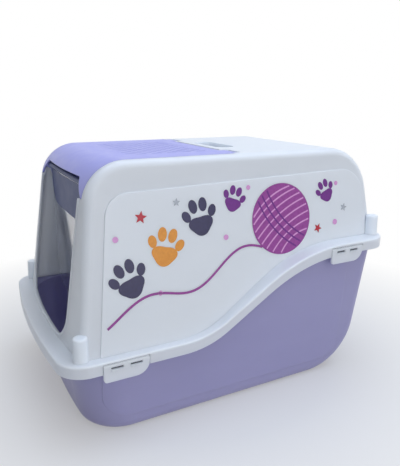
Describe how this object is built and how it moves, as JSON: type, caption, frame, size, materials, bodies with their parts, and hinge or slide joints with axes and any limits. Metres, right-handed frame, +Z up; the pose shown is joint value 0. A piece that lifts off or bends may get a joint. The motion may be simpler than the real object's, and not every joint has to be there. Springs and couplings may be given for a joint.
{
  "type": "covered litter box",
  "caption": "Covered litter box: deep tray with a rim that rises to the back, clipped-on hood, flip-up lid with vents and a clear swing door for the cat.",
  "frame": {"origin": "middle of the box's footprint, on the surface that the tray stands on", "axes": "+Y from the door to the back, +Z up, +X to the right of someone who looks in at the door"},
  "size_m": [0.3848, 0.564, 0.3845],
  "materials": {
    "white_plastic": "satin moulded",
    "lavender_plastic": "satin moulded",
    "clear_plastic": "clear, polished",
    "filter_foam": "open-cell carbon foam"
  },
  "bodies": {
    "tray": {"tray": "lavender_plastic"},
    "hood": {"hood_shell": "white_plastic", "lid_hinge_pin_left": "white_plastic", "lid_hinge_pin_right": "white_plastic", "clip_pin_front_left": "white_plastic", "clip_pin_front_right": "white_plastic", "clip_pin_rear_left": "white_plastic", "clip_pin_rear_right": "white_plastic"},
    "lid": {"lid_panel": "lavender_plastic", "filter_frame": "lavender_plastic", "filter_pad": "filter_foam", "door_pin_left": "white_plastic", "door_pin_right": "white_plastic"},
    "door": {"door_flap": "clear_plastic"},
    "clip_front_left": {"clip_front_left": "white_plastic"},
    "clip_front_right": {"clip_front_right": "white_plastic"},
    "clip_rear_left": {"clip_rear_left": "white_plastic"},
    "clip_rear_right": {"clip_rear_right": "white_plastic"}
  },
  "joints": [
    {"name": "hood_lift", "type": "slide", "parent": "tray", "child": "hood", "axis": [0, 0, 1], "range_m": [0, 0.2]},
    {"name": "lid_hinge", "type": "hinge", "parent": "hood", "child": "lid", "pos_m": [0, 0.017, 0.3785], "axis": [-1, 0, 0], "range_deg": [0, 105]},
    {"name": "door_swing", "type": "hinge", "parent": "lid", "child": "door", "pos_m": [0, -0.20883, 0.352], "axis": [1, 0, 0], "range_deg": [-64, 66]},
    {"name": "clip_front_left_hinge", "type": "hinge", "parent": "hood", "child": "clip_front_left", "pos_m": [-0.187, -0.1875, 0.1261], "axis": [0, 1, 0], "range_deg": [0, 85]},
    {"name": "clip_front_right_hinge", "type": "hinge", "parent": "hood", "child": "clip_front_right", "pos_m": [0.187, -0.1875, 0.1261], "axis": [0, -1, 0], "range_deg": [0, 85]},
    {"name": "clip_rear_left_hinge", "type": "hinge", "parent": "hood", "child": "clip_rear_left", "pos_m": [-0.187, 0.186, 0.23055], "axis": [0, 1, 0], "range_deg": [0, 85]},
    {"name": "clip_rear_right_hinge", "type": "hinge", "parent": "hood", "child": "clip_rear_right", "pos_m": [0.187, 0.186, 0.23055], "axis": [0, -1, 0], "range_deg": [0, 85]}
  ]
}
